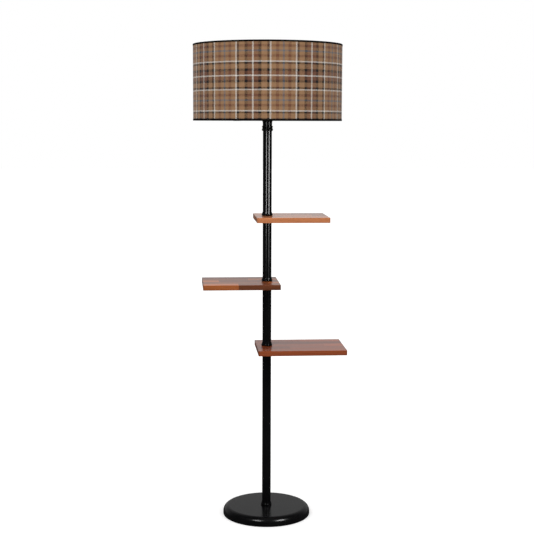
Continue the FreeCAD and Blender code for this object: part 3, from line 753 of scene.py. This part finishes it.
def newPiece(name, grids, slotName, body, creaseAngle, uv=None):
    # the grids' joined edges lie on each other and are merged here
    faces = []
    first = 0
    for grid in grids:
        faces.append(gridFaces(*grid.shape[:2]) + first)
        first += grid.shape[0] * grid.shape[1]
    faces = np.concatenate(faces)
    places = np.concatenate([grid.reshape(-1, 3) for grid in grids])
    mesh = bpy.data.meshes.new(name)
    mesh.from_pydata(places.tolist(), [], faces.tolist())
    if uv is not None:
        layer = mesh.uv_layers.new(name="UVMap")
        layer.data.foreach_set("uv", uv.reshape(-1, 2)[faces.ravel()].ravel())
    closeSeams(mesh)
    mesh.materials.append(finishes[slotName])
    mesh.shade_smooth()
    mesh.set_sharp_from_angle(angle=math.radians(creaseAngle))
    piece = addObject(name, mesh)
    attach(piece, body)
    return piece


def closeSeams(mesh):
    # points that lie on each other become one, and faces that shrink to nothing at a pole go
    work = bmesh.new()
    work.from_mesh(mesh)
    bmesh.ops.remove_doubles(work, verts=work.verts, dist=sameSpot)
    bmesh.ops.dissolve_degenerate(work, edges=work.edges, dist=sameSpot / 10)
    work.to_mesh(mesh)
    work.free()


def turnedGrid(profile, steps, ripple):
    # each (radius, height) of the profile carried round the axis: (r cos a, r sin a, z), where the
    # ripple adds to the radius by angle, height and plain radius
    angle = np.linspace(0, fullTurn, steps + 1)
    radius = np.repeat(profile[:, :1], steps + 1, axis=1)
    height = np.repeat(profile[:, 1:], steps + 1, axis=1)
    radius = radius + ripple(angle[None, :], height, radius)
    return np.stack([radius * np.cos(angle), radius * np.sin(angle), height], axis=-1)


def densify(corners, step, closed=True):
    # the outline with a point at least every step along each side
    corners = np.array(corners, float)
    starts = corners if closed else corners[:-1]
    ends = np.roll(corners, -1, axis=0)
    sides = []
    for start, end in zip(starts, ends):
        count = max(1, math.ceil(np.linalg.norm(end - start) / step))
        share = np.linspace(0, 1, count, endpoint=False)[:, None]
        sides.append(start + (end - start) * share)
    outline = np.concatenate(sides)
    last = outline[:1] if closed else corners[-1:]
    return np.concatenate([outline, last])


def turnedPiece(name, node, slotName, body, settings, corners, ripple, closed=True):
    # the outline carried round the axis takes the node's place. Its mesh settings are the step along the
    # outline, the facets in a turn and the least angle of an edge that stays sharp
    step, facets, creaseAngle = settings["mesh"]
    profile = densify(corners, step, closed)
    piece = newPiece(name, [turnedGrid(profile, facets, ripple)], slotName, body, creaseAngle)
    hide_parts(node)
    return piece


def smooth(share):
    # 0 to 1 with level ends: 3 s^2 - 2 s^3, for s held between 0 and 1
    held = np.clip(share, 0, 1)
    return held * held * (3 - 2 * held)


def window(height, low, high, fade):
    # 1 between low and high, and 0 outside, over a short fade at each end
    return smooth((height - low) / fade) * smooth((high - height) / fade)


# strips of cloth, film and ribbon, each wrapped once round the shade and lapped at the back

shadeSettings = {
    "steps": 512,
    "gap": 0.05 * millimetre,
    "waviness": 0.10 * millimetre,
    "waves": 5,
    "waveStart": 0.8,
    "swells": 3,
}
linerSettings = {
    "thickness": 0.3 * millimetre,
    "lap": 12 * millimetre,
    "lift": 60 * millimetre,
    "seamAngle": math.pi / 2 + 0.2,
    "step": 32 * millimetre,
}
ribbonSettings = {
    "thickness": 0.4 * millimetre,
    "lap": 16 * millimetre,
    "lift": 22 * millimetre,
    "fall": 4 * millimetre,  # how far past the cloth's lap the ribbon takes to lie down again
    "seamAngle": math.pi / 2 + 0.40,
    "cornerRound": 0.9 * millimetre,
    "cornerSteps": 6,
    "hoopSteps": 14,
    "legFrom": 0.6,  # the ribbon's straight part up the cloth, as shares of its node's height
    "legTo": 1.25,
    "wrap": math.radians(185),  # how far the ribbon goes round the hoop, from its outer side
}


def wrapStrip(line, strip, radius, waviness=0.0, bump=None):
    # line runs across the strip as (radius, height). Its tangent (tr, tz) has the outward normal (tz, -tr).
    # The strip's two faces stand half a thickness to each side of the line, and the whole rises by one
    # thickness over its last stretch, so that its end lies on its beginning. Round the shade it waves by a
    # sine, whose height swells and shrinks by a slower cosine
    settings = shadeSettings
    tangent = np.gradient(line, axis=0)
    tangent /= np.linalg.norm(tangent, axis=1, keepdims=True)
    outward = np.stack([tangent[:, 1], -tangent[:, 0]], axis=-1)
    length = fullTurn * radius
    run = np.linspace(0, length + strip["lap"], settings["steps"] + 1)
    rise = (strip["thickness"] + settings["gap"]) * smooth((run - length + strip["lift"]) / strip["lift"])
    angle = strip["seamAngle"] + (run - strip["lap"] / 2) / radius
    wave = np.sin(settings["waves"] * angle + settings["waveStart"]) * np.cos(settings["swells"] * angle)
    half = strip["thickness"] / 2
    faces = []
    for side, order in ((half, 1), (-half, -1)):
        reach = line[:, :1] + outward[:, :1] * (side + rise) + waviness * wave
        if bump is not None:
            reach = reach + np.clip(outward[:, :1], 0, 1) * bump(angle)
        height = line[:, 1:] + outward[:, 1:] * (side + rise)
        face = np.stack([reach * np.cos(angle), reach * np.sin(angle), height], axis=-1)
        faces.append(face[::order])
    across = np.concatenate([[0], np.cumsum(np.linalg.norm(np.diff(line, axis=0), axis=1))])
    up = np.concatenate([across, across[::-1], across[:1]])
    grid = np.concatenate([faces[0], faces[1], faces[0][:1]])
    uv = np.stack(np.broadcast_arrays(run[None, :], up[:, None]), axis=-1)
    return grid, uv


def stripEnds(grid, uv):
    # each end of the strip is a small grid between its outer and its inner face
    count = (len(grid) - 1) // 2
    ends, endUvs = [], []
    for column, order in ((0, -1), (-1, 1)):
        for source, results in ((grid, ends), (uv, endUvs)):
            pair = [source[:count, column], source[count:2 * count, column][::-1]]
            results.append(np.stack(pair[::order], axis=1))
    return ends, endUvs


def wrappedPiece(name, slotName, line, strip, radius, **more):
    grid, uv = wrapStrip(line, strip, radius, **more)
    ends, endUvs = stripEnds(grid, uv)
    allUv = np.concatenate([part.reshape(-1, 2) for part in [uv, *endUvs]])
    return newPiece(name, [grid, *ends], slotName, "shade", creaseAngle=60, uv=allUv)


def overClothLap(angle):
    # how far the ribbon stands out over the lap of the cloth below it: it rises with the cloth before the
    # lap, and falls just past it
    lap = clothSettings["lap"]
    lift = clothSettings["lift"]
    start = clothSettings["seamAngle"] - lap / 2 / shadeRadius
    past = ((angle - start + math.pi) % fullTurn - math.pi) * shadeRadius
    risen = smooth((past + lift) / lift)
    fallen = smooth((past - lap) / ribbonSettings["fall"])
    return (clothSettings["thickness"] + shadeSettings["gap"]) * risen * (1 - fallen)


def ribbonLine(trimNode, ringNode, settings, mirrored):
    # from the hoop's inner side round below it, outwards, round the corner and up the cloth.
    # The upper ribbon is the same line upside down, taken the other way
    trimLow, trimHigh = nodeHeights(trimNode)
    ringLow, ringHigh = nodeHeights(ringNode)
    half = settings["thickness"] / 2
    hoop = nodeRadius(ringNode) - (ringHigh - ringLow) / 2
    outside = nodeRadius(trimNode) - half
    ringLevel = (ringLow + ringHigh) / 2
    centre = trimHigh - ringLevel if mirrored else ringLevel - trimLow
    around = centre - half
    hoopTurn = np.linspace(-math.pi / 2 - settings["wrap"], -math.pi / 2, settings["hoopSteps"])
    inner = np.stack([hoop + around * np.cos(hoopTurn), centre + around * np.sin(hoopTurn)], axis=-1)
    turn = settings["cornerRound"]
    cornerTurn = np.linspace(-math.pi / 2, 0, settings["cornerSteps"])
    cornerX = outside - turn + turn * np.cos(cornerTurn)
    cornerZ = half + turn + turn * np.sin(cornerTurn)
    height = trimHigh - trimLow
    leg = np.array([[outside, height * settings["legFrom"]], [outside, height * settings["legTo"]]])
    line = np.concatenate([inner, np.stack([cornerX, cornerZ], axis=-1), leg])
    if mirrored:
        return np.stack([line[::-1, 0], trimHigh - line[::-1, 1]], axis=-1)
    return np.stack([line[:, 0], trimLow + line[:, 1]], axis=-1)


def makeShade(settings, cloth, liner, ribbon):
    low, high = nodeHeights("shade_fabric")
    waviness = settings["waviness"]
    reach = shadeRadius - cloth["thickness"] / 2 - waviness
    line = densify([(reach, low), (reach, high)], cloth["step"], closed=False)
    shadeCloth = wrappedPiece("shadeCloth", "checked_cloth", line, cloth, shadeRadius, waviness=waviness)
    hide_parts("shade_fabric")

    # the liner's lap rises to the node's radius
    linerRadius = nodeRadius("shade_liner")
    thickness = liner["thickness"]
    reach = linerRadius - thickness / 2 - (thickness + settings["gap"])
    line = densify([(reach, low), (reach, high)], liner["step"], closed=False)
    shadeLiner = wrappedPiece("shadeLiner", "shade_liner", line, liner, linerRadius)
    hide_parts("shade_liner")

    for name, end, mirrored in (("topTape", "top", True), ("bottomTape", "bottom", False)):
        line = ribbonLine(f"{end}_trim", f"{end}_ring", ribbon, mirrored)
        tape = wrappedPiece(name, "black_tape", line, ribbon, shadeRadius, bump=overClothLap)
        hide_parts(f"{end}_trim")


makeShade(shadeSettings, clothSettings, linerSettings, ribbonSettings)
print("the shade's cloth, liner and ribbons are wrapped")


# welds of the shade's carrier

weldSettings = {
    "hubSize": (3.0 * millimetre, 2.7 * millimetre, 1.9 * millimetre),  # outwards, sideways, up
    "hoopSize": (1.7 * millimetre, 2.8 * millimetre, 2.2 * millimetre),
    "hoopSink": 0.2 * millimetre,
    "ripple": 0.08,
    "ripplesAround": 3,
    "ripplesUp": 5,
    "rows": 13,
    "columns": 25,
}


def weldBead(centre, turn, size, phase):
    # an ellipsoid whose radius swells and shrinks by two crossed sines, turned to its arm
    settings = weldSettings
    rise = np.linspace(-math.pi / 2, math.pi / 2, settings["rows"])[:, None]
    around = np.linspace(0, fullTurn, settings["columns"])[None, :]
    waves = np.sin(settings["ripplesAround"] * around + phase) * np.sin(settings["ripplesUp"] * rise + phase)
    swell = 1 + settings["ripple"] * np.cos(rise) * waves
    along = size[0] * swell * np.cos(rise) * np.cos(around)
    sideways = size[1] * swell * np.cos(rise) * np.sin(around)
    up = size[2] * swell * np.sin(rise)
    x = centre[0] + along * math.cos(turn) - sideways * math.sin(turn)
    y = centre[1] + along * math.sin(turn) + sideways * math.cos(turn)
    return np.stack([x, y, centre[2] + up], axis=-1)


def makeWelds(settings):
    # one bead on the hub and one on the bottom hoop for each arm, and no two with the same ripple
    hubLow, hubHigh = nodeHeights("spider_hub")
    ringLow, ringHigh = nodeHeights("bottom_ring")
    hoopInside = nodeRadius("bottom_ring") - (ringHigh - ringLow)
    spots = (
        (nodeRadius("spider_hub"), (hubLow + hubHigh) / 2, settings["hubSize"]),
        (hoopInside - settings["hoopSink"], (ringLow + ringHigh) / 2, settings["hoopSize"]),
    )
    beads = []
    for number in (1, 2, 3):
        low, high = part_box(f"spider_arm_{number}")
        turn = math.atan2(low.y + high.y, low.x + high.x)
        for reach, level, size in spots:
            centre = (reach * math.cos(turn), reach * math.sin(turn), level)
            beads.append(weldBead(centre, turn, size, phase=number + 10 * reach))
    newPiece("carrierWelds", beads, "white_wire", "shade", creaseAngle=60)


makeWelds(weldSettings)
print("the carrier's welds are laid")


# threads of the lampholder, the ring nut and the bulb's cap

bulbPitch = 3.62 * millimetre
sleeveSettings = {
    "pitch": 3.0 * millimetre,
    "depth": 0.7 * millimetre,
    "crest": 19.5 / 28,  # the thread's radius, over the ring nut's
    "boreGap": 0.1 * millimetre,
    "shoulderRound": 0.5 * millimetre,
    "topChamfer": 0.8 * millimetre,
    "threadFrom": 2.0 * millimetre,  # above the seat
    "threadTo": 1.2 * millimetre,  # below the top
    "fade": 1.0 * millimetre,
    "mesh": (0.4 * millimetre, 96, 40),
}
nutSettings = {
    "bore": 19.6 / 28,  # over the nut's radius
    "rimGrips": 36,
    "rimDepth": 0.7 * millimetre,
    "collarRibs": 24,
    "collarDepth": 0.8 * millimetre,
    "rimReach": 2.5,  # in edge roundings, how far in the notches start
    "collarReach": 1.2,
    "edgeRound": 0.5 * millimetre,
    "mesh": (0.5 * millimetre, 360, 40),
}
shellSettings = {
    "depth": 0.35 * millimetre,
    "wall": 0.4 * millimetre,
    "threadFrom": 7 * millimetre,
    "threadTo": 1.5 * millimetre,
    "fade": 1.5 * millimetre,
    "mesh": (0.3 * millimetre, 72, 50),
}
capSettings = {
    "depth": 0.75 * millimetre,
    "wall": 0.35 * millimetre,
    "coneHeight": 1.2 * millimetre,
    "coneInside": 1.4 * millimetre,
    "threadFrom": 1.6 * millimetre,
    "threadTo": 1.8 * millimetre,
    "fade": 1.5 * millimetre,
    "mesh": (0.3 * millimetre, 72, 50),
}


def screwWave(angle, height, pitch):
    # 0 on the crest and 1 in the root of a right-hand thread: it climbs one pitch in each turn
    return 0.5 - 0.5 * np.cos(fullTurn * height / pitch - angle)


def threadWindow(height, settings, bottom, top):
    return window(height, bottom + settings["threadFrom"], top - settings["threadTo"], settings["fade"])


def makeHolderSleeve(settings):
    # a shoulder that the carrier rests on, and above it a flat-topped thread for the ring nut
    low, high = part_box("holder_sleeve")
    shoulder = high.x
    crest = nodeRadius("shade_nut") * settings["crest"]
    bore = nodeRadius("screw_shell") + settings["boreGap"]
    seat = nodeHeights("spider_hub")[0]
    ease = settings["shoulderRound"]
    chamfer = settings["topChamfer"]
    corners = [
        (bore, low.z), (shoulder - ease, low.z), (shoulder, low.z + ease), (shoulder, seat - ease),
        (shoulder - ease, seat), (crest, seat), (crest, high.z - chamfer), (crest - chamfer, high.z),
        (bore, high.z),
    ]

    def thread(angle, height, radius):
        # the wave's middle half is steepened into the flanks, between flat crests and flat roots
        cut = smooth((screwWave(angle, height, settings["pitch"]) - 0.25) / 0.5)
        onOutside = np.abs(radius - crest) < sameSpot
        return -settings["depth"] * cut * onOutside * threadWindow(height, settings, seat, high.z)

    turnedPiece("holderSleeve", "holder_sleeve", "black_plastic", "lamp_frame", settings, corners, thread)


def makeRingNut(settings):
    # a wide knurled rim below and a ribbed collar above, both rounded at their edges
    low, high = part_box("shade_nut")
    rim = high.x
    bore = rim * settings["bore"]
    collar = (rim + rim * sleeveSettings["crest"]) / 2
    rimTop = low.z + (high.z - low.z) / 3
    collarFoot = low.z + (high.z - low.z) / 2
    ease = settings["edgeRound"]
    corners = [
        (bore, low.z), (rim - ease, low.z), (rim, low.z + ease), (rim, rimTop - ease), (rim - ease, rimTop),
        (collar + ease, collarFoot), (collar, collarFoot + ease), (collar, high.z - ease),
        (collar - ease, high.z), (bore, high.z),
    ]

    def grips(angle, height, radius):
        # rounded notches: the square of a sine wave, deepest half way between two grips
        rimNotch = (0.5 - 0.5 * np.cos(settings["rimGrips"] * angle)) ** 2
        ribNotch = (0.5 - 0.5 * np.cos(settings["collarRibs"] * angle)) ** 2
        onRim = smooth((radius - rim + settings["rimReach"] * ease) / ease)
        onSide = np.abs(radius - collar) < settings["collarReach"] * ease
        onCollar = window(height, collarFoot, high.z + ease, ease) * onSide
        return -settings["rimDepth"] * rimNotch * onRim - settings["collarDepth"] * ribNotch * onCollar

    turnedPiece("ringNut", "shade_nut", "black_plastic", "lamp_frame", settings, corners, grips)


def rolledThread(name, node, slotName, body, settings, corners):
    # thin metal rolled into the bulb's round thread, plain near its foot and at its rim
    bottom, top = nodeHeights(node)

    def thread(angle, height, radius):
        wave = screwWave(angle, height, bulbPitch)
        return -settings["depth"] * wave * threadWindow(height, settings, bottom, top)

    turnedPiece(name, node, slotName, body, settings, corners, thread)


def makeScrewShell(settings):
    # a plain brass tube before its thread is rolled
    outer = nodeRadius("screw_shell")
    inner = outer - settings["wall"]
    bottom, top = nodeHeights("screw_shell")
    corners = [(inner, bottom), (outer, bottom), (outer, top), (inner, top)]
    rolledThread("screwShell", "screw_shell", "brass", "lamp_frame", settings, corners)


def makeBulbCap(settings):
    # its thread is deeper, with a short cone below where it enters the shell
    outer = nodeRadius("bulb_cap")
    wall = settings["wall"]
    bottom, top = nodeHeights("bulb_cap")
    corners = [
        (outer - 1.5 * wall, bottom), (outer - wall, bottom), (outer, bottom + settings["coneHeight"]),
        (outer, top), (outer - wall, top), (outer - wall, bottom + settings["coneInside"]),
    ]
    rolledThread("bulbCap", "bulb_cap", "nickel_brass", "bulb_base", settings, corners)


makeHolderSleeve(sleeveSettings)
makeRingNut(nutSettings)
makeScrewShell(shellSettings)
makeBulbCap(capSettings)
print("the lampholder, the ring nut and the bulb's cap have their threads")


# the felt under the base

feltSettings = {
    "edgeRound": 0.5 * millimetre,
    "fuzz": 0.25 * millimetre,
    "waves": ((37, 0.0), (61, 1.3), (97, 2.1)),  # waves in a turn, and where each starts
    "rimShare": 0.05,  # of the radius, where the rim wanders
    "mesh": (5 * millimetre, 360, 50),
}


def makeFelt(settings):
    # a disc with rounded edges, whose rim wanders in by a sum of sines, as cut felt does
    low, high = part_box("felt_pad")
    rim = high.x
    ease = settings["edgeRound"]
    corners = [
        (0, low.z), (rim - ease, low.z), (rim, low.z + ease), (rim, high.z - ease), (rim - ease, high.z),
        (0, high.z),
    ]

    def wander(angle, height, radius):
        total = sum(np.sin(count * angle + start) for count, start in settings["waves"])
        inwards = 0.5 - total / (2 * len(settings["waves"]))
        return -settings["fuzz"] * inwards * smooth((radius / rim - 1) / settings["rimShare"] + 1)

    felt = turnedPiece(
        "feltPad", "felt_pad", "black_felt", "lamp_frame", settings, corners, wander, closed=False,
    )


makeFelt(feltSettings)
print("the felt lies under the base")
